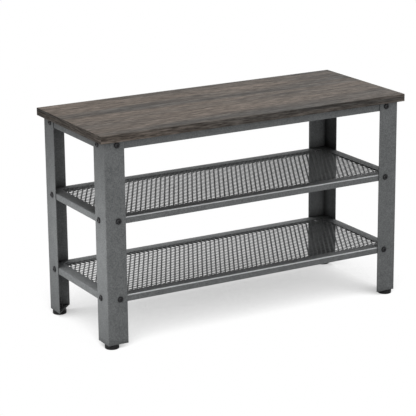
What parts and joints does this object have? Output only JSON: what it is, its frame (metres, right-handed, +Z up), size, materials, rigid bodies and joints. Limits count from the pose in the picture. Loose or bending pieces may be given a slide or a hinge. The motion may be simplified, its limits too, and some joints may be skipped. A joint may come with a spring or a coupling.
{
  "type": "entryway shoe bench",
  "caption": "Entryway bench with a flat wood-effect seat board on steel angle legs, mesh shoe shelves beneath it and screw-in levelling feet.",
  "frame": {"origin": "on the floor, under the centre of the seat board", "axes": "+X along the length of the bench, the front faces -Y, +Z up"},
  "size_m": [0.7366, 0.3048, 0.4572],
  "materials": {
    "wood_laminate": "dark greyish brown wood-effect laminate, satin",
    "frame_paint": "gunmetal grey fine hammer-texture powder coat",
    "mesh_paint": "gunmetal grey powder coat",
    "black_screws": "black oxide, semi-gloss",
    "zinc_steel": "bright zinc plate",
    "foot_plastic": "black moulded plastic"
  },
  "bodies": {
    "frame": {"top_board": "wood_laminate", "top_rail_front": "frame_paint", "top_rail_rear": "frame_paint", "top_rail_left": "frame_paint", "top_rail_right": "frame_paint", "upper_shelf_rail_front": "frame_paint", "upper_shelf_rail_rear": "frame_paint", "upper_shelf_rail_left": "frame_paint", "upper_shelf_rail_right": "frame_paint", "lower_shelf_rail_front": "frame_paint", "lower_shelf_rail_rear": "frame_paint", "lower_shelf_rail_left": "frame_paint", "lower_shelf_rail_right": "frame_paint", "upper_shelf_mesh": "mesh_paint", "lower_shelf_mesh": "mesh_paint", "leg_front_left": "frame_paint", "leg_front_right": "frame_paint", "leg_rear_left": "frame_paint", "leg_rear_right": "frame_paint", "foot_plate_front_left": "frame_paint", "foot_plate_front_right": "frame_paint", "foot_plate_rear_left": "frame_paint", "foot_plate_rear_right": "frame_paint", "foot_nut_front_left": "black_screws", "foot_nut_front_right": "black_screws", "foot_nut_rear_left": "black_screws", "foot_nut_rear_right": "black_screws", "top_frame_screws": "black_screws", "upper_shelf_frame_screws": "black_screws", "lower_shelf_frame_screws": "black_screws", "top_frame_nuts": "zinc_steel", "upper_shelf_frame_nuts": "zinc_steel", "lower_shelf_frame_nuts": "zinc_steel", "board_screws": "zinc_steel"},
    "foot_front_left": {"foot_pad_front_left": "foot_plastic", "foot_stud_front_left": "black_screws"},
    "foot_front_right": {"foot_pad_front_right": "foot_plastic", "foot_stud_front_right": "black_screws"},
    "foot_rear_left": {"foot_pad_rear_left": "foot_plastic", "foot_stud_rear_left": "black_screws"},
    "foot_rear_right": {"foot_pad_rear_right": "foot_plastic", "foot_stud_rear_right": "black_screws"}
  },
  "joints": [
    {"name": "foot_front_left_slide", "type": "slide", "parent": "frame", "child": "foot_front_left", "axis": [0, 0, -1], "range_m": [0, 0.012]},
    {"name": "foot_front_right_slide", "type": "slide", "parent": "frame", "child": "foot_front_right", "axis": [0, 0, -1], "range_m": [0, 0.012]},
    {"name": "foot_rear_left_slide", "type": "slide", "parent": "frame", "child": "foot_rear_left", "axis": [0, 0, -1], "range_m": [0, 0.012]},
    {"name": "foot_rear_right_slide", "type": "slide", "parent": "frame", "child": "foot_rear_right", "axis": [0, 0, -1], "range_m": [0, 0.012]}
  ]
}
